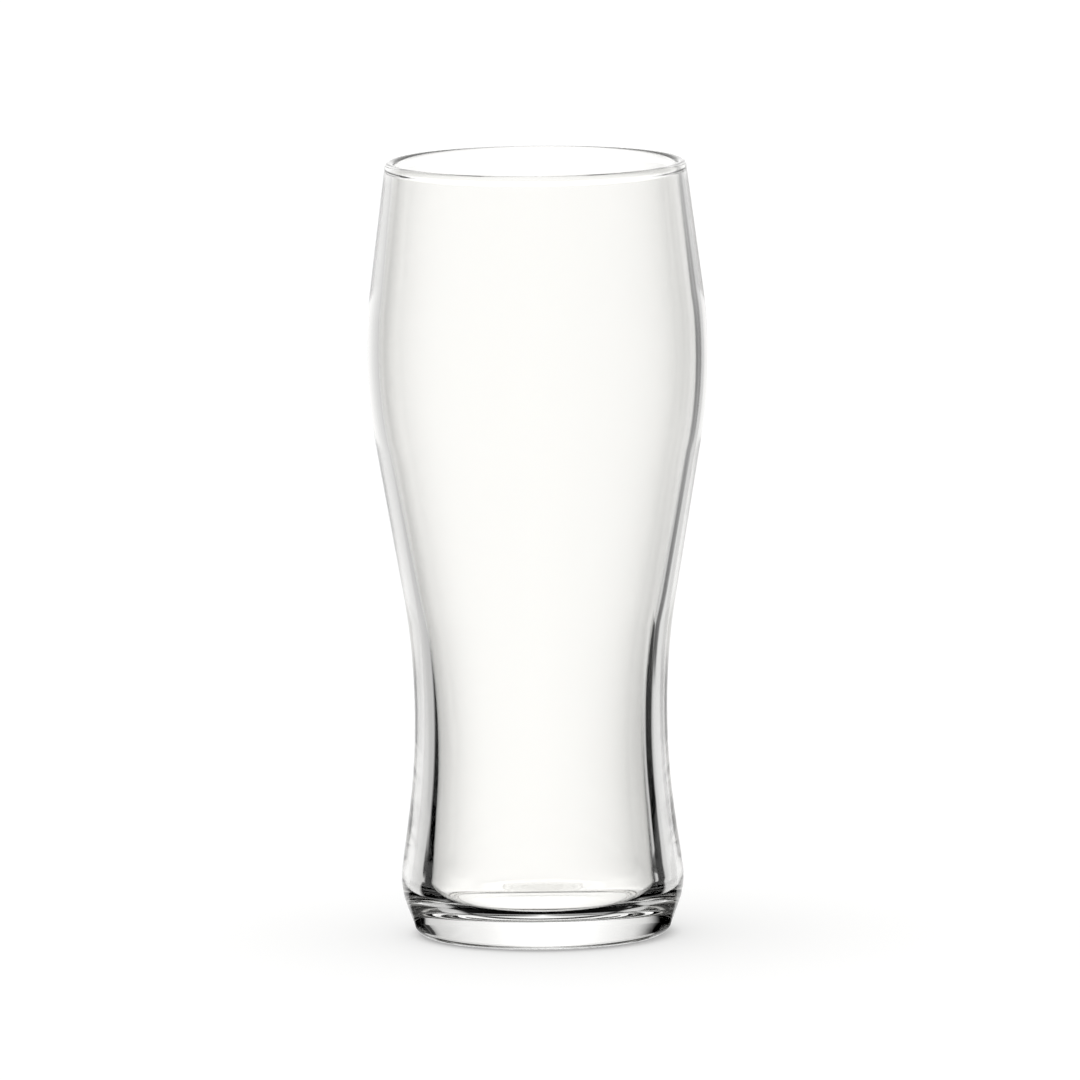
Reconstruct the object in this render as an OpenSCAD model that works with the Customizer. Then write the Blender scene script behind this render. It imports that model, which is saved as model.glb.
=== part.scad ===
// Weizen glass: a tall beer glass with a wide bulge below the mouth, a low waist and a heavy foot.
// It is clear glass in three portions that are fused along flat seams: rim, bowl and foot.
// Millimetres, +Z up, origin on the table at the centre of the ring that the glass stands on.

/* [Overall] */
// Height from the table to the top of the rim
height = 188; // [176:1:205]

/* [Rim] */
// Outside diameter of the mouth
rim_d = 73; // [68:0.5:78]
// Thickness of the rounded bead at the rim
rim_wall = 2.5; // [2:0.1:3.4]
// Radius of the small hollows under the bead, outside and inside
neck_curve = 1.2; // [0.8:0.1:2]
// Height of the fire-polished band at the rim
rim_band = 5; // [3:0.5:12]

/* [Bulge] */
// Outside diameter of the glass where it is widest
bulge_d = 82.5; // [78:0.5:90]
// Height of the widest place above the table
bulge_z = 141.5; // [130:0.5:152]
// Radius of the bulge's curve, seen from the side
bulge_curve = 122; // [95:1:150]
// Thickness of the wall at the bulge
bulge_wall = 2.9; // [2:0.1:4]

/* [Waist] */
// Outside diameter of the waist where it is narrowest
waist_d = 61.2; // [56:0.2:66]
// Height of the narrowest place above the table
waist_z = 53.5; // [46:0.5:62]
// Radius of the waist's outer curve, seen from the side
waist_curve = 178; // [130:1:230]
// Thickness of the wall from the outer waist to the narrowest place of the hollow
waist_wall = 5.5; // [4:0.1:7]
// How far the narrowest place of the hollow lies below the outer waist
waist_drop = 8.5; // [4:0.5:12]
// Radius of the hollow's curve at the waist, seen from the side
throat_curve = 170; // [130:1:220]

/* [Foot] */
// Height of the foot above the table, up to the seam where the bowl begins
foot_h = 22.5; // [20:0.5:28]
// Outside diameter of the foot where it is widest
foot_d = 68.4; // [65:0.2:73]
// Height of the foot's widest place above the table
foot_z = 14; // [11.5:0.5:17]
// Radius of the foot's outer curve, seen from the side
foot_curve = 19.5; // [14:0.5:25]
// Inward slope of the foot below its curve, in degrees
foot_taper = 20; // [12:1:26]
// Radius of the rounded heel where the foot meets the table
heel_curve = 3.6; // [2:0.2:5]
// Thickness of the wall from the foot's widest place to the hollow
foot_wall = 7.2; // [5:0.1:9]
// Height of the hollow's floor above the table
floor_z = 7.6; // [6:0.1:10]
// Radius of the hollow's corner between wall and floor
well_curve = 6.3; // [4:0.1:9]
// Width of the flat ring that stands on the table
ring_w = 4; // [2:0.5:8]
// Depth of the flat recess in the underside, inside the ring
recess_h = 0.8; // [0.4:0.1:1.5]
// Width of the smooth step from the ring to the recess
recess_step = 2; // [1.4:0.1:4]

/* [Hidden] */
$fn = 96;
glass_tint = [0.86, 0.92, 0.92, 0.4];
// Largest turn from one point of an arc to the next, in degrees
arc_step = 2.5;
down = -90;
up = 90;
// Share of the room between two curves that they may use, which leaves a straight side
straight_share = 0.98;
// How far the bead turns under to its hollows outside and inside, from square to the wall, in degrees
neck_out_dip = 16;
neck_in_dip = 34;

// A profile curve is [radius from the axis, height, curve radius] of its circle.
// The curve radius is positive where the curve swells outwards and negative where it draws in.
function swell(d, z, curve) = [d / 2 - curve, z, curve];
function draw_in(d, z, curve) = [d / 2 + curve, z, -curve];
function on_curve(c, angle) = [c[0] + c[2] * cos(angle), c[1] + c[2] * sin(angle)];

// Angle of the outward normal of the straight side that touches curve a, then curve b above it
function side_angle(a, b) =
    let (r = b[0] - a[0], z = b[1] - a[1])
    asin((a[2] - b[2]) / norm([r, z])) - atan2(r, z);

function arc(c, from, to) =
    let (steps = ceil(abs(to - from) / arc_step))
    [for (i = [0:steps]) on_curve(c, from + (to - from) * i / steps)];

// Smooth line of arcs and straight sides over a list of curves, from the lowest to the highest
function smooth_line(curves, from, to) =
    let (turns = [from, for (i = [1:len(curves) - 1]) side_angle(curves[i - 1], curves[i]), to])
    [for (i = [0:len(curves) - 1]) each arc(curves[i], turns[i], turns[i + 1])];

// Radius of a profile line at a height, and its points between two heights
function radius_at(line, z) = lookup(z, [for (p = line) [p[1], p[0]]]);
function between(line, low, high) =
    [
        [radius_at(line, low), low],
        for (p = line) if (p[1] > low && p[1] < high) p,
        [radius_at(line, high), high]
    ];
function reversed(line) = [for (i = [len(line) - 1:-1:0]) line[i]];

// Largest curve that runs smoothly into the curves beside it: a wide curve is held to the room there.
// Between two curves that share a straight side, the step and the rise limit how far both can bend.
function bend_room(d_a, z_a, d_b, z_b) =
    let (step = abs(d_a - d_b) / 2, rise = z_b - z_a)
    straight_share * (rise ^ 2 + step ^ 2) / (2 * step);

// Rim: a rounded bead, and the hollows under it, which turn with the lean of the wall from the bulge in to the rim
rim_r = rim_wall / 2;
rim_in = rim_d / 2 - rim_r;
rim_z = height - rim_r;
wall_lean = atan2(bulge_d - rim_d, 2 * (height - bulge_z));
neck_out_turn = neck_out_dip - wall_lean;
neck_in_turn = neck_in_dip + wall_lean;
rim_out = [rim_in, rim_z, rim_r];
rim_top_in = [rim_in, rim_z, -rim_r];
neck_span = (rim_r + neck_curve) / straight_share;
neck_out = [rim_in + neck_span * cos(neck_out_turn), rim_z - neck_span * sin(neck_out_turn), -neck_curve];
neck_in = [rim_in - neck_span * cos(neck_in_turn), rim_z - neck_span * sin(neck_in_turn), neck_curve];

// Outer curves. The heel touches the table and the tapered side below the foot's curve.
bulge_fit = min(bulge_curve, bend_room(bulge_d, bulge_z, 2 * (neck_out[0] - neck_curve), neck_out[1]) - neck_curve);
bulge_out = swell(bulge_d, bulge_z, bulge_fit);
foot_out = swell(foot_d, foot_z, foot_curve);
waist_fit = min(waist_curve, bend_room(foot_d, foot_z, waist_d, waist_z) - foot_curve,
    bend_room(waist_d, waist_z, bulge_d, bulge_z) - bulge_fit);
waist_out = draw_in(waist_d, waist_z, waist_fit);
taper_point = on_curve(foot_out, -foot_taper);
heel_in = taper_point[0] - (taper_point[1] - heel_curve) * tan(foot_taper) - heel_curve / cos(foot_taper);
heel_out = [heel_in, heel_curve, heel_curve];
outer_line = smooth_line([heel_out, foot_out, waist_out, bulge_out, neck_out, rim_out], down, up);

// Curves of the hollow
well_d = foot_d - 2 * foot_wall;
well_z = floor_z + well_curve;
well_in = swell(well_d, well_z, well_curve);
bulge_in_d = bulge_d - 2 * bulge_wall;
bulge_in_fit = min(bulge_fit - bulge_wall,
    bend_room(bulge_in_d, bulge_z, 2 * (neck_in[0] + neck_curve), neck_in[1]) + neck_curve);
bulge_in = swell(bulge_in_d, bulge_z, bulge_in_fit);
throat_d = waist_d - 2 * waist_wall;
throat_z = waist_z - waist_drop;
throat_fit = min(throat_curve, bend_room(well_d, well_z, throat_d, throat_z) - well_curve,
    bend_room(throat_d, throat_z, bulge_in_d, bulge_z) - bulge_in_fit);
throat_in = draw_in(throat_d, throat_z, throat_fit);
inner_line = smooth_line([well_in, throat_in, bulge_in, neck_in, rim_top_in], down, down);

// Height of the seam under the fire-polished band
rim_seam = height - rim_band;

// Underside: a flat recess inside the ring, with a step of two equal curves between them
ring_in = heel_in - ring_w;
step_curve = straight_share * (recess_step ^ 2 + recess_h ^ 2) / (4 * recess_h);
recess_edge = [ring_in - recess_step, recess_h - step_curve, -step_curve];
ring_edge = [ring_in, step_curve, step_curve];
recess_line = concat([[0, recess_h]], smooth_line([recess_edge, ring_edge], down, down));

module turned(points) {
    color(glass_tint)
        rotate_extrude()
            polygon(points);
}

module rim() {
    turned(concat(between(outer_line, rim_seam, height), reversed(between(inner_line, rim_seam, height))));
}

module bowl() {
    turned(concat(between(outer_line, foot_h, rim_seam), reversed(between(inner_line, foot_h, rim_seam))));
}

module foot() {
    turned(concat(recess_line, between(outer_line, 0, foot_h), reversed(between(inner_line, floor_z, foot_h)),
        [[0, floor_z]]));
}

rim();
bowl();
foot();
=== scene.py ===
import math

import bpy
from mathutils import Matrix


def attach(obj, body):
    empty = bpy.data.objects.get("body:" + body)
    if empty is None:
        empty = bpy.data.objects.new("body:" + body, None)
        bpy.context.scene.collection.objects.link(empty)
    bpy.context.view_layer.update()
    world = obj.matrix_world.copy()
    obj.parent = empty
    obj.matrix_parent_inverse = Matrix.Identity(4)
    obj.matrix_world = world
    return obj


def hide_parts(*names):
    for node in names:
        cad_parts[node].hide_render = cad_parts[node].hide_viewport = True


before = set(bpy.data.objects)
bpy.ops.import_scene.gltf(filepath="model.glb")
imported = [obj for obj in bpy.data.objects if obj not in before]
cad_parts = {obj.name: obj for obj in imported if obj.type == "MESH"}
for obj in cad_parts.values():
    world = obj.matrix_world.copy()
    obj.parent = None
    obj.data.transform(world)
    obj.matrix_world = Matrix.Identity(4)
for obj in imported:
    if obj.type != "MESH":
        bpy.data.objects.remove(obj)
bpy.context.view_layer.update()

MM = 0.001

# Sizes of the glass, as in the part's source
HEIGHT = 188 * MM
RIM_D = 73 * MM
RIM_WALL = 2.5 * MM
NECK_CURVE = 1.2 * MM
NECK_OUT_DIP = math.radians(16)
NECK_IN_DIP = math.radians(34)
RIM_BAND = 5 * MM
BULGE_D = 82.5 * MM
BULGE_Z = 141.5 * MM
BULGE_CURVE = 122 * MM
BULGE_WALL = 2.9 * MM
WAIST_D = 61.2 * MM
WAIST_Z = 53.5 * MM
WAIST_CURVE = 178 * MM
WAIST_WALL = 5.5 * MM
WAIST_DROP = 8.5 * MM
THROAT_CURVE = 170 * MM
FOOT_H = 22.5 * MM
FOOT_D = 68.4 * MM
FOOT_Z = 14 * MM
FOOT_CURVE = 19.5 * MM
FOOT_TAPER = math.radians(20)
HEEL_CURVE = 3.6 * MM
FOOT_WALL = 7.2 * MM
FLOOR_Z = 7.6 * MM
WELL_CURVE = 6.3 * MM
RING_W = 4 * MM
RECESS_H = 0.8 * MM
RECESS_STEP = 2 * MM
STRAIGHT_SHARE = 0.98

# Fineness of the turned meshes
ARC_TURN = math.radians(3)
ARC_LENGTH = 1.6 * MM
SPIN_STEPS = 256
MERGE_GAP = 0.001 * MM
EDGE_ANGLE = math.radians(30)

DOWN = -math.pi / 2
UP = math.pi / 2


# A profile curve is (radius from the axis, height, curve radius) of its circle.
# The curve radius is positive where the curve swells outwards and negative where it draws in.
def swell(d, z, curve):
    return (d / 2 - curve, z, curve)


def draw_in(d, z, curve):
    return (d / 2 + curve, z, -curve)


def on_curve(curve, angle):
    return (curve[0] + curve[2] * math.cos(angle), curve[1] + curve[2] * math.sin(angle))


def side_angle(low, high):
    """Angle of the outward normal of the straight side that touches two curves."""
    r, z = high[0] - low[0], high[1] - low[1]
    return math.asin((low[2] - high[2]) / math.hypot(r, z)) - math.atan2(r, z)


def arc(curve, start, end):
    turn = abs(end - start)
    steps = max(1, math.ceil(turn / ARC_TURN), math.ceil(turn * abs(curve[2]) / ARC_LENGTH))
    return [on_curve(curve, start + (end - start) * i / steps) for i in range(steps + 1)]


def smooth_line(curves, start, end):
    """Arcs and straight sides over a list of curves, from the lowest to the highest."""
    turns = [start] + [side_angle(a, b) for a, b in zip(curves, curves[1:])] + [end]
    return [p for curve, a, b in zip(curves, turns, turns[1:]) for p in arc(curve, a, b)]


def radius_at(line, height):
    for (r0, z0), (r1, z1) in zip(line, line[1:]):
        if z0 <= height <= z1 and z1 > z0:
            return r0 + (r1 - r0) * (height - z0) / (z1 - z0)
    return line[0][0] if height < line[0][1] else line[-1][0]


def between(line, low, high):
    inside = [p for p in line if low < p[1] < high]
    return [(radius_at(line, low), low)] + inside + [(radius_at(line, high), high)]


def rim_curves():
    """The rounded rim, and the small hollows under it outside and inside."""
    rim_r = RIM_WALL / 2
    rim_in, rim_z = RIM_D / 2 - rim_r, HEIGHT - rim_r
    span = (rim_r + NECK_CURVE) / STRAIGHT_SHARE
    lean = math.atan2(BULGE_D - RIM_D, 2 * (HEIGHT - BULGE_Z))
    out_turn, in_turn = NECK_OUT_DIP - lean, NECK_IN_DIP + lean
    neck_out = (rim_in + span * math.cos(out_turn), rim_z - span * math.sin(out_turn), -NECK_CURVE)
    neck_in = (rim_in - span * math.cos(in_turn), rim_z - span * math.sin(in_turn), NECK_CURVE)
    return neck_out, (rim_in, rim_z, rim_r), neck_in, (rim_in, rim_z, -rim_r)


def outer_profile():
    neck, rim = rim_curves()[:2]
    foot = swell(FOOT_D, FOOT_Z, FOOT_CURVE)
    taper = on_curve(foot, -FOOT_TAPER)
    heel_in = taper[0] - (taper[1] - HEEL_CURVE) * math.tan(FOOT_TAPER)
    heel_in -= HEEL_CURVE / math.cos(FOOT_TAPER)
    curves = [
        (heel_in, HEEL_CURVE, HEEL_CURVE),
        foot,
        draw_in(WAIST_D, WAIST_Z, WAIST_CURVE),
        swell(BULGE_D, BULGE_Z, BULGE_CURVE),
        neck,
        rim,
    ]
    return heel_in, smooth_line(curves, DOWN, UP)


def inner_profile():
    neck, rim = rim_curves()[2:]
    curves = [
        swell(FOOT_D - 2 * FOOT_WALL, FLOOR_Z + WELL_CURVE, WELL_CURVE),
        draw_in(WAIST_D - 2 * WAIST_WALL, WAIST_Z - WAIST_DROP, THROAT_CURVE),
        swell(BULGE_D - 2 * BULGE_WALL, BULGE_Z, BULGE_CURVE - BULGE_WALL),
        neck,
        rim,
    ]
    return smooth_line(curves, DOWN, DOWN)


def recess_profile(heel_in):
    """Underside: a flat recess inside the standing ring, with a smooth step between them."""
    ring_in = heel_in - RING_W
    curve = STRAIGHT_SHARE * (RECESS_STEP**2 + RECESS_H**2) / (4 * RECESS_H)
    edges = [(ring_in - RECESS_STEP, RECESS_H - curve, -curve), (ring_in, curve, curve)]
    return [(0, RECESS_H)] + smooth_line(edges, DOWN, DOWN)


def node(tree, kind, **settings):
    made = tree.nodes.new(kind)
    for name, value in settings.items():
        setattr(made, name, value)
    return made


def put(tree, socket, value):
    """Links a socket to another node's output, or sets it to a constant."""
    if isinstance(value, bpy.types.NodeSocket):
        tree.links.new(value, socket)
    else:
        socket.default_value = value


def calc(tree, operation, a, b=None):
    made = node(tree, "ShaderNodeMath", operation=operation)
    put(tree, made.inputs[0], a)
    if b is not None:
        put(tree, made.inputs[1], b)
    return made.outputs[0]


def combined(tree, operation, first, *others):
    """One value from many, such as their product or the largest."""
    for other in others:
        first = calc(tree, operation, first, other)
    return first


def soft_step(tree, value, low, high, at_low=0.0, at_high=1.0):
    """Changes smoothly from one number to another while the value goes from low to high."""
    made = node(tree, "ShaderNodeMapRange", interpolation_type="SMOOTHSTEP")
    for socket, number in zip(made.inputs, (value, low, high, at_low, at_high)):
        put(tree, socket, number)
    return made.outputs[0]


def past(tree, value, edge, soft):
    """1 where the value is past an edge and 0 before it, with a soft change over the edge."""
    return soft_step(tree, calc(tree, "SUBTRACT", value, edge), -soft, soft)


def object_axes(tree, place=None):
    """X, Y and Z of a place, which is the point's own place in its object if none is given."""
    axes = node(tree, "ShaderNodeSeparateXYZ")
    put(tree, axes.inputs[0], place or node(tree, "ShaderNodeTexCoord").outputs["Object"])
    return axes.outputs["X"], axes.outputs["Y"], axes.outputs["Z"]


def noise(tree, place, scale, detail):
    made = node(tree, "ShaderNodeTexNoise")
    put(tree, made.inputs["Vector"], place)
    put(tree, made.inputs["Scale"], scale)
    put(tree, made.inputs["Detail"], detail)
    return made.outputs["Fac"]


def bump(tree, height, depth, over=None):
    made = node(tree, "ShaderNodeBump")
    put(tree, made.inputs["Strength"], 1.0)
    put(tree, made.inputs["Distance"], depth)
    put(tree, made.inputs["Height"], height)
    if over:
        put(tree, made.inputs["Normal"], over)
    return made.outputs["Normal"]


def tint_mix(tree, share, tints):
    made = node(tree, "ShaderNodeMix", data_type="RGBA")
    put(tree, made.inputs["Factor"], share)
    put(tree, made.inputs["A"], tints[0])
    put(tree, made.inputs["B"], tints[1])
    return made.outputs["Result"]


def shader_mix(tree, share, first, second):
    made = node(tree, "ShaderNodeMixShader")
    for socket, value in zip(made.inputs, (share, first, second)):
        put(tree, socket, value)
    return made.outputs[0]


def new_material(name):
    """An empty material and the input that its surface shader is joined to."""
    material = bpy.data.materials.new(name)
    material.use_nodes = True
    material.node_tree.nodes.clear()
    output = node(material.node_tree, "ShaderNodeOutputMaterial")
    return material, material.node_tree, output.inputs["Surface"]


# Grain of the glass as (scale, detail) of its noises, with their depth, then the dullness of its
# standing ring, its tint and its refraction
SWELL_GRAIN = (34.0, 1.0)
SWELL_DEPTH = 0.02 * MM
STREAK_GRAIN = (1.0, 2.0)
STREAK_DRAWN = (120.0, 120.0, 9.0)
STREAK_DEPTH = 0.004 * MM
RUB_GRAIN = (420.0, 4.0)
RUB_PATCHES = (0.38, 0.62)
RUB_DULL = (0.03, 0.12)
RUB_HEIGHT = (0.02 * MM, 0.25 * MM, 1.0, 0.0)
GLASS_TINTS = ((1.0, 0.997, 0.982, 1.0), (0.999, 0.996, 0.983, 1.0))
GLASS_IOR = 1.52

# Paths that have met this many surfaces end in a painted glow, which stands in for light kept inside the
# glass.
# Its brightness rises from the foot to the waist and falls above it.
# Paths that first crossed the hollow, through three surfaces or more, get a painted glow of a brightness
# of its own.
PAINTED_GLOW_BOUNCES = 14
PAINTED_GLOW_LOW = (20 * MM, 40 * MM, 0.05, 0.6)
PAINTED_GLOW_HIGH = (60 * MM, 105 * MM, 1.0, 0.1)
PAINTED_GLOW_CROSSED = 3
PAINTED_GLOW_FLOOR = 0.9
PAINTED_GLOW_COLOUR = (1.0, 0.99, 0.96, 1.0)

# Tint of the shadow under the heel and above it
SHADE_HEIGHT = (0.6 * HEEL_CURVE, HEEL_CURVE)
SHADE_TINTS = ((0.3, 0.3, 0.295, 1.0), (0.97, 0.97, 0.967, 1.0))


def clear_glass():
    """Soda-lime glass: faintly warm, a little uneven, and rubbed dull on the standing ring."""
    material, tree, surface = new_material("clear_glass")
    place = node(tree, "ShaderNodeTexCoord").outputs["Object"]
    height = object_axes(tree, place)[2]

    # Blown glass is never quite even: a slow swell, and streaks drawn out along the height
    slow_swell = noise(tree, place, *SWELL_GRAIN)
    drawn = node(tree, "ShaderNodeMapping")
    put(tree, drawn.inputs["Vector"], place)
    put(tree, drawn.inputs["Scale"], STREAK_DRAWN)
    streaks = noise(tree, drawn.outputs[0], *STREAK_GRAIN)
    uneven = bump(tree, streaks, STREAK_DEPTH, bump(tree, slow_swell, SWELL_DEPTH))

    # Only the ring that rubs on tables is dull, in patches
    on_ring = soft_step(tree, height, *RUB_HEIGHT)
    rubbed = soft_step(tree, noise(tree, place, *RUB_GRAIN), *RUB_PATCHES, *RUB_DULL)

    # The melt's tint drifts a little from place to place
    glass = node(tree, "ShaderNodeBsdfPrincipled")
    put(tree, glass.inputs["Base Color"], tint_mix(tree, slow_swell, GLASS_TINTS))
    put(tree, glass.inputs["Roughness"], calc(tree, "MULTIPLY", on_ring, rubbed))
    put(tree, glass.inputs["IOR"], GLASS_IOR)
    put(tree, glass.inputs["Transmission Weight"], 1.0)
    put(tree, glass.inputs["Normal"], uneven)

    # Painted glow: a path that goes on to and fro inside the wall ends in an emission that stands in for
    # the light kept inside, dark round the foot
    path = node(tree, "ShaderNodeLightPath")
    painted_glow = node(tree, "ShaderNodeEmission")
    put(tree, painted_glow.inputs["Color"], PAINTED_GLOW_COLOUR)
    low, high = (soft_step(tree, height, *step) for step in (PAINTED_GLOW_LOW, PAINTED_GLOW_HIGH))
    crossed = path.outputs["Transmission Depth"]
    through_hollow = calc(tree, "GREATER_THAN", crossed, PAINTED_GLOW_CROSSED - 0.5)
    floor_level = calc(tree, "MULTIPLY", through_hollow, PAINTED_GLOW_FLOOR)
    level = calc(tree, "MAXIMUM", calc(tree, "MULTIPLY", low, high), floor_level)
    put(tree, painted_glow.inputs["Strength"], level)
    ends_in_painted_glow = calc(tree, "GREATER_THAN", path.outputs["Ray Depth"], PAINTED_GLOW_BOUNCES - 0.5)
    seen = shader_mix(tree, ends_in_painted_glow, glass.outputs[0], painted_glow.outputs[0])

    # Light goes through to the table, so the shadow of clear glass is pale, but not under the heel
    shade = node(tree, "ShaderNodeBsdfTransparent")
    above_heel = soft_step(tree, height, *SHADE_HEIGHT)
    put(tree, shade.inputs["Color"], tint_mix(tree, above_heel, SHADE_TINTS))
    put(tree, surface, shader_mix(tree, path.outputs["Is Shadow Ray"], seen, shade.outputs[0]))
    return material


def fused_seam():
    """Where two portions are fused there is no surface, so light goes straight on."""
    material, tree, surface = new_material("fused_seam")
    put(tree, surface, node(tree, "ShaderNodeBsdfTransparent").outputs[0])
    return material


def turned(name, line):
    """Draws a profile beside the axis as a chain of edges and spins it round."""
    bpy.ops.object.select_all(action="DESELECT")
    bpy.ops.mesh.primitive_plane_add(size=MM, location=(0, 0, 0))
    piece = bpy.context.object
    piece.name = piece.data.name = name
    bpy.ops.object.mode_set(mode="EDIT")
    bpy.ops.mesh.select_mode(type="VERT")
    bpy.ops.mesh.select_all(action="SELECT")
    bpy.ops.mesh.merge(type="CENTER")
    bpy.ops.transform.translate(value=(line[0][0], 0, line[0][1]))
    for (r0, z0), (r1, z1) in zip(line, line[1:]):
        bpy.ops.mesh.extrude_region_move(TRANSFORM_OT_translate={"value": (r1 - r0, 0, z1 - z0)})
    bpy.ops.mesh.select_all(action="SELECT")
    bpy.ops.mesh.remove_doubles(threshold=MERGE_GAP)
    bpy.ops.mesh.select_all(action="SELECT")
    bpy.ops.mesh.spin(
        steps=SPIN_STEPS, angle=2 * math.pi, center=(0, 0, 0), axis=(0, 0, 1), use_auto_merge=True
    )
    bpy.ops.mesh.select_all(action="SELECT")
    bpy.ops.mesh.remove_doubles(threshold=MERGE_GAP)
    bpy.ops.mesh.select_all(action="SELECT")
    bpy.ops.mesh.normals_make_consistent(inside=False)
    bpy.ops.object.mode_set(mode="OBJECT")
    bpy.ops.object.shade_smooth_by_angle(angle=EDGE_ANGLE)
    return piece


def finish_glass(piece, materials, seams, cad_node):
    """Glass all over, the fused seam on the flat faces at the seams, and the place in the frame."""
    for material in materials:
        piece.data.materials.append(material)
    bpy.ops.object.mode_set(mode="EDIT")
    bpy.ops.mesh.select_mode(type="FACE")
    bpy.ops.mesh.select_all(action="DESELECT")
    bpy.ops.object.mode_set(mode="OBJECT")
    for face in piece.data.polygons:
        face.select = any(abs(face.center.z - z) < MERGE_GAP for z in seams)
    bpy.ops.object.mode_set(mode="EDIT")
    piece.active_material_index = 1
    bpy.ops.object.material_slot_assign()
    bpy.ops.object.mode_set(mode="OBJECT")
    piece.active_material_index = 0
    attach(piece, "root")
    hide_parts(cad_node)


def model_glass():
    heel_in, outer = outer_profile()
    inner = inner_profile()
    rim_seam = HEIGHT - RIM_BAND
    materials = (clear_glass(), fused_seam())

    rim_line = between(outer, rim_seam, HEIGHT) + between(inner, rim_seam, HEIGHT)[::-1]
    rim = turned("rim_glass", rim_line + rim_line[:1])
    finish_glass(rim, materials, (rim_seam,), "rim")

    bowl_line = between(outer, FOOT_H, rim_seam) + between(inner, FOOT_H, rim_seam)[::-1]
    bowl = turned("bowl_glass", bowl_line + bowl_line[:1])
    finish_glass(bowl, materials, (FOOT_H, rim_seam), "bowl")

    foot_line = recess_profile(heel_in) + between(outer, 0, FOOT_H)
    foot_line += between(inner, FLOOR_Z, FOOT_H)[::-1] + [(0, FLOOR_Z)]
    foot = turned("foot_glass", foot_line)
    finish_glass(foot, materials, (FOOT_H,), "foot")


# Directions in the surround, in degrees: azimuth from straight behind the glass to the right, and
# height above the line of sight. First come the edges of the dark sides, which soften with height,
# then the edge of the dark overhead.
SIDE_LEFT = 46
SIDE_RIGHT = 55
SIDE_SOFT = (2.5, 11)
SIDE_SOFT_RISE = (4, 18)
TOP_EDGE = (44, 54)

# The backdrop's glow, its brightness in the middle and at the edge, its fall further out and its
# rise higher up
GLOW_WIDTH = 16
GLOW_LEFT = 2
BACK_MIDDLE = 1.18
BACK_EDGE = 0.74
BACK_FALL = (24, 42, 0.0, -0.14)
BACK_RISE = (3, 7, 0.0, 0.2)
SURROUND_R = 2.4
ROUND_SIDES = 96


def surround_light():
    """A lit backdrop behind the glass, with the dark studio at its sides and overhead."""
    material, tree, surface = new_material("studio_surround")
    unit = node(tree, "ShaderNodeVectorMath", operation="NORMALIZE")
    put(tree, unit.inputs[0], node(tree, "ShaderNodeTexCoord").outputs["Object"])
    x, y, z = object_axes(tree, unit.outputs[0])
    azimuth = calc(tree, "DEGREES", calc(tree, "ARCTAN2", x, y))
    height = calc(tree, "DEGREES", calc(tree, "ARCSINE", z))

    soft = soft_step(tree, height, *SIDE_SOFT_RISE, *SIDE_SOFT)
    past_right = calc(tree, "DIVIDE", calc(tree, "SUBTRACT", azimuth, SIDE_RIGHT), soft)
    past_left = calc(tree, "DIVIDE", calc(tree, "ADD", azimuth, SIDE_LEFT), soft)
    right = soft_step(tree, past_right, -1.0, 1.0)
    left = soft_step(tree, past_left, -1.0, 1.0, 1.0, 0.0)
    dark = combined(tree, "MAXIMUM", right, left, soft_step(tree, height, *TOP_EDGE))

    aside = calc(tree, "DIVIDE", calc(tree, "ADD", azimuth, GLOW_LEFT), GLOW_WIDTH)
    bell = calc(tree, "EXPONENT", combined(tree, "MULTIPLY", aside, aside, -1.0))
    glow = calc(tree, "MULTIPLY", bell, BACK_MIDDLE - BACK_EDGE)
    fall = soft_step(tree, calc(tree, "ABSOLUTE", azimuth), *BACK_FALL)
    rise = soft_step(tree, height, *BACK_RISE)
    backdrop = combined(tree, "ADD", glow, BACK_EDGE, fall, rise)

    light = node(tree, "ShaderNodeEmission")
    lit = calc(tree, "SUBTRACT", 1.0, dark)
    put(tree, light.inputs["Strength"], calc(tree, "MULTIPLY", backdrop, lit))
    put(tree, surface, light.outputs[0])
    material.cycles.emission_sampling = "NONE"
    return material


def seen_in_glass_only(thing):
    thing.visible_camera = thing.visible_diffuse = thing.visible_shadow = False


def round_sheet(name, radius, drop, material):
    """A flat round sheet, a little below the ring that the glass stands on."""
    bpy.ops.object.select_all(action="DESELECT")
    bpy.ops.mesh.primitive_circle_add(
        vertices=ROUND_SIDES, radius=radius, fill_type="NGON", location=(0, 0, -drop)
    )
    sheet = bpy.context.object
    sheet.name = sheet.data.name = name
    sheet.data.materials.append(material)
    return sheet


def studio_surround(camera):
    """Big ball round the stage. It turns with the camera, as the backdrop of a photograph does."""
    bpy.ops.object.select_all(action="DESELECT")
    bpy.ops.mesh.primitive_uv_sphere_add(
        segments=ROUND_SIDES, ring_count=ROUND_SIDES // 2, radius=SURROUND_R, location=(0, 0, HEIGHT / 2)
    )
    ball = bpy.context.object
    ball.name = ball.data.name = "studio_surround"
    ball.data.materials.append(surround_light())
    turn = ball.constraints.new("TRACK_TO")
    turn.target = camera
    turn.track_axis = "TRACK_NEGATIVE_Y"
    turn.up_axis = "UP_Z"
    seen_in_glass_only(ball)
    return ball


def black_where(name, tree_mask):
    """Black where the mask is 1 and clear where it is 0."""
    material, tree, surface = new_material(name)
    clear = node(tree, "ShaderNodeBsdfTransparent")
    black = node(tree, "ShaderNodeEmission")
    put(tree, black.inputs["Strength"], 0.0)
    put(tree, surface, shader_mix(tree, tree_mask(tree), clear.outputs[0], black.outputs[0]))
    return material


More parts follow.
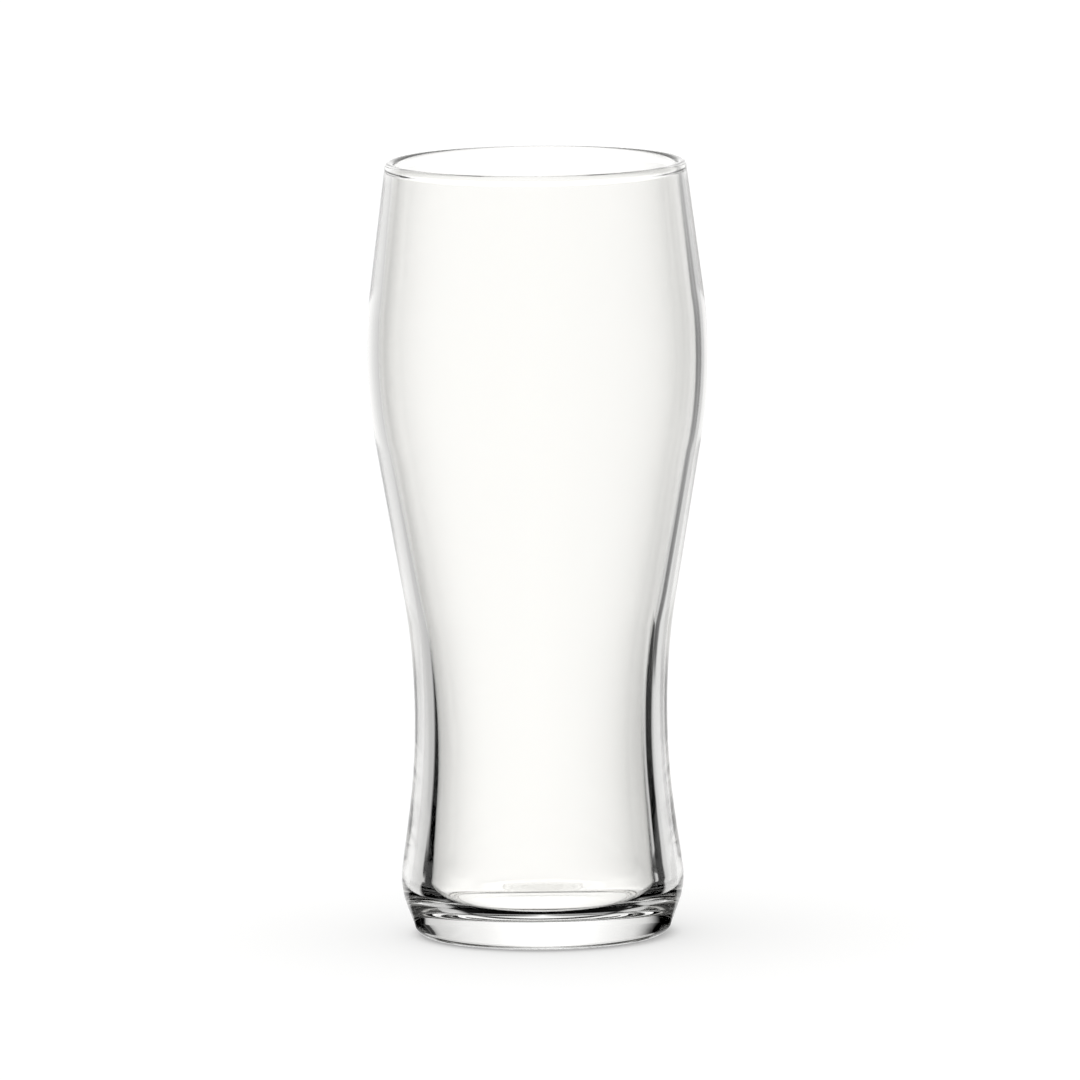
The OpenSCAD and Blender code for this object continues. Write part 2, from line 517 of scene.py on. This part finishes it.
# Dark strip that stands behind the glass on the right: its near and far edge, the heights where they
# step out, and how it pales upwards
STRIP_BACK = 120 * MM
STRIP_NEAR = 104 * MM
STRIP_FAR = 133 * MM
STRIP_HEAD_FAR = 148 * MM
STRIP_FOOT_NEAR = 122 * MM
STRIP_FOOT_FAR = 174 * MM
STRIP_FOOT = (-63 * MM, -57 * MM)
STRIP_FOOT_WIDE = (-70 * MM, -64 * MM)
STRIP_HEAD = (0, 60 * MM)
STRIP_SOFT = 7 * MM
STRIP_LOW = (-60 * MM, 10 * MM, 1.0, 0.78)
STRIP_HIGH = (40 * MM, 110 * MM, 1.0, 0.5)
STRIP_R = 250 * MM


def dark_strip(ball):
    """It draws the right wall's dark line."""

    def mask(tree):
        x, _, z = object_axes(tree)
        near_edge = soft_step(tree, z, *STRIP_FOOT, STRIP_FOOT_NEAR, STRIP_NEAR)
        head = soft_step(tree, z, *STRIP_HEAD, STRIP_FAR, STRIP_HEAD_FAR)
        far_edge = soft_step(tree, z, *STRIP_FOOT_WIDE, STRIP_FOOT_FAR, head)
        near = past(tree, x, near_edge, STRIP_SOFT)
        far = calc(tree, "SUBTRACT", 1.0, past(tree, x, far_edge, STRIP_SOFT))
        pale = (soft_step(tree, z, *step) for step in (STRIP_LOW, STRIP_HIGH))
        return combined(tree, "MULTIPLY", near, far, *pale)

    bpy.ops.object.select_all(action="DESELECT")
    bpy.ops.mesh.primitive_plane_add(size=2 * STRIP_R, location=(0, 0, 0))
    strip = bpy.context.object
    strip.name = strip.data.name = "dark_strip"
    bpy.ops.object.mode_set(mode="EDIT")
    bpy.ops.mesh.select_all(action="SELECT")
    bpy.ops.transform.rotate(value=math.pi / 2, orient_axis="X", center_override=(0, 0, 0))
    bpy.ops.transform.translate(value=(STRIP_R, STRIP_BACK, 0))
    bpy.ops.object.mode_set(mode="OBJECT")
    strip.data.materials.append(black_where("dark_strip", mask))
    strip.parent = ball
    seen_in_glass_only(strip)


# Painted shadow of the glass on the table, a dark sheet seen only in the glass at both sides of it: it
# opens in a wedge behind the glass, ends on the right and fades outwards
MAT_R = 190 * MM
MAT_DROP = 0.1 * MM
MAT_EDGE = 31 * MM
MAT_OPENS = 5 * MM
MAT_SPREAD = 1.05
MAT_SOFT = 4 * MM
MAT_RIGHT = 126 * MM
MAT_FADE = (108 * MM, 190 * MM, 1.0, 0.0)

# Painted reflection: the sheet has no gloss, yet under the front of the standing ring, further out, and
# on a line under the front of the hollow it is dark at some angles, where a gloss table would no longer
# mirror the backdrop.
# An angle of 0 is seen from above and 1 is seen flat.
MAT_RING_FRONT = (-14 * MM, -6 * MM, 1.0, 0.0)
MAT_RING_REACH = (23 * MM, 25 * MM)
MAT_RING_ANGLE = (0.30, 0.45, 1.0, 0.0)
MAT_OUT_REACH = (48 * MM, 58 * MM)
MAT_OUT_ANGLE = (0.70, 0.735, 1.0, 0.0)
MAT_LINE_BACK = (-15.5 * MM, -12.5 * MM, 1.0, 0.0)
MAT_LINE_FRONT = (-20 * MM, -18.5 * MM)
MAT_LINE_ANGLE = (0.5, 0.68, 1.0, 0.0)
MAT_LINE_ABOVE = (0.22, 0.32)


def painted_shade_mat(camera):
    """It lies on the table, is seen only in the glass and turns with the camera: painted shadow and
    painted reflection.
    """

    def mask(tree):
        x, y, _ = object_axes(tree)
        aside = calc(tree, "ABSOLUTE", x)
        across, along = (calc(tree, "MULTIPLY", axis, axis) for axis in (x, y))
        radius = calc(tree, "SQRT", calc(tree, "ADD", across, along))
        weight = node(tree, "ShaderNodeLayerWeight")
        put(tree, weight.inputs["Blend"], 0.5)
        flat = weight.outputs["Facing"]

        # Painted shadow of the glass at both sides, open in a wedge behind it
        behind = calc(tree, "MAXIMUM", calc(tree, "SUBTRACT", y, MAT_OPENS), 0.0)
        edge = calc(tree, "ADD", MAT_EDGE, calc(tree, "MULTIPLY", behind, MAT_SPREAD))
        before_end = calc(tree, "SUBTRACT", 1.0, past(tree, x, MAT_RIGHT, MAT_SOFT))
        beside = calc(tree, "MULTIPLY", past(tree, aside, edge, MAT_SOFT), before_end)

        def where(*limits):
            steps = (soft_step(tree, value, *step) for value, step in limits)
            return combined(tree, "MULTIPLY", *steps)

        # Painted reflection: dark by the angle that the sheet is seen at
        ring = where((y, MAT_RING_FRONT), (radius, MAT_RING_REACH), (flat, MAT_RING_ANGLE))
        further_out = where((aside, MAT_OUT_REACH), (flat, MAT_OUT_ANGLE))
        line_angle = where((flat, MAT_LINE_ANGLE), (flat, MAT_LINE_ABOVE))
        line = calc(tree, "MULTIPLY", where((y, MAT_LINE_BACK), (y, MAT_LINE_FRONT)), line_angle)
        dark = combined(tree, "MAXIMUM", beside, ring, further_out, line)
        return calc(tree, "MULTIPLY", dark, soft_step(tree, radius, *MAT_FADE))

    mat = round_sheet("painted_shade_mat", MAT_R, MAT_DROP, black_where("painted_shade_mat", mask))
    turn = mat.constraints.new("LOCKED_TRACK")
    turn.target = camera
    turn.track_axis = "TRACK_NEGATIVE_Y"
    turn.lock_axis = "LOCK_Z"
    seen_in_glass_only(mat)


# White table just under the ring, the lamp overhead, and the room as a lamp and as it is seen
TABLE_R = 6.0
TABLE_DROP = 0.02 * MM
TABLE_PAINT = (0.86, 0.86, 0.855, 1.0)
TABLE_FILL = 0.3
LAMP_HEIGHT = 2
LAMP_ANGLE = math.radians(70)
LAMP_LEVEL = 1.4
LAMP_TURN = (math.radians(-6), math.radians(-10), 0)
ROOM_COLOUR = (1.0, 1.0, 1.0, 1.0)
ROOM_LEVELS = (0.45, 1.0)


def pale_floor():
    """White table that shows the pale shadow of the glass."""
    material, tree, surface = new_material("pale_floor")
    paint = node(tree, "ShaderNodeBsdfDiffuse")
    put(tree, paint.inputs["Color"], TABLE_PAINT)
    seen = node(tree, "ShaderNodeLightPath").outputs["Is Camera Ray"]
    fill = node(tree, "ShaderNodeEmission")
    put(tree, fill.inputs["Strength"], calc(tree, "MULTIPLY", seen, TABLE_FILL))
    both = node(tree, "ShaderNodeAddShader")
    put(tree, both.inputs[0], paint.outputs[0])
    put(tree, both.inputs[1], fill.outputs[0])
    put(tree, surface, both.outputs[0])
    material.cycles.emission_sampling = "NONE"

    floor = round_sheet("pale_floor", TABLE_R, TABLE_DROP, material)
    floor.visible_glossy = floor.visible_transmission = False


def studio_light():
    """Even soft light from overhead in a white room."""
    bpy.ops.object.light_add(type="SUN", location=(0, 0, LAMP_HEIGHT))
    lamp = bpy.context.object
    lamp.name = lamp.data.name = "overhead_light"
    lamp.data.angle = LAMP_ANGLE
    lamp.data.energy = LAMP_LEVEL
    lamp.rotation_euler = LAMP_TURN
    lamp.visible_camera = lamp.visible_glossy = lamp.visible_transmission = False

    world = bpy.data.worlds.new("white_room")
    bpy.context.scene.world = world
    world.use_nodes = True
    tree = world.node_tree
    tree.nodes.clear()
    background = node(tree, "ShaderNodeBackground")
    put(tree, background.inputs["Color"], ROOM_COLOUR)
    seen = node(tree, "ShaderNodeLightPath").outputs["Is Camera Ray"]
    put(tree, background.inputs["Strength"], soft_step(tree, seen, 0.0, 1.0, *ROOM_LEVELS))
    put(tree, node(tree, "ShaderNodeOutputWorld").inputs["Surface"], background.outputs[0])


# Camera of the photograph: far off with a long lens, a little above the glass and rolled slightly
CAMERA_FAR = 3.867
CAMERA_SIGHT = 100
CAMERA_RISE = math.radians(7.33)
CAMERA_ROLL = math.radians(-0.592)
AIM_X = 0.19 * MM
AIM_Z = 95.87 * MM
SENSOR = 36.0
LENS = 533.3


def photo_camera():
    bpy.ops.object.camera_add()
    camera = bpy.context.object
    camera.name = camera.data.name = "photo_camera"
    camera.data.sensor_width = SENSOR
    camera.data.lens = LENS
    camera.data.clip_end = CAMERA_SIGHT
    back = CAMERA_FAR * math.cos(CAMERA_RISE)
    place = Matrix.Translation((AIM_X, -back, AIM_Z + CAMERA_FAR * math.sin(CAMERA_RISE)))
    tilt = Matrix.Rotation(math.pi / 2 - CAMERA_RISE, 4, "X")
    camera.matrix_world = place @ tilt @ Matrix.Rotation(CAMERA_ROLL, 4, "Z")
    bpy.context.scene.camera = camera
    return camera


def trace_glass():
    """Enough bounces for light that goes to and fro inside the thick foot, and for such paths to reach
    the painted glow.
    """
    cycles = bpy.context.scene.cycles
    bounces = PAINTED_GLOW_BOUNCES + 2
    cycles.max_bounces = cycles.transmission_bounces = cycles.glossy_bounces = bounces
    cycles.transparent_max_bounces = 2 * bounces
    cycles.diffuse_bounces = 0


model_glass()
camera = photo_camera()
dark_strip(studio_surround(camera))
painted_shade_mat(camera)
pale_floor()
studio_light()
trace_glass()
bpy.context.scene.view_settings.view_transform = "Standard"
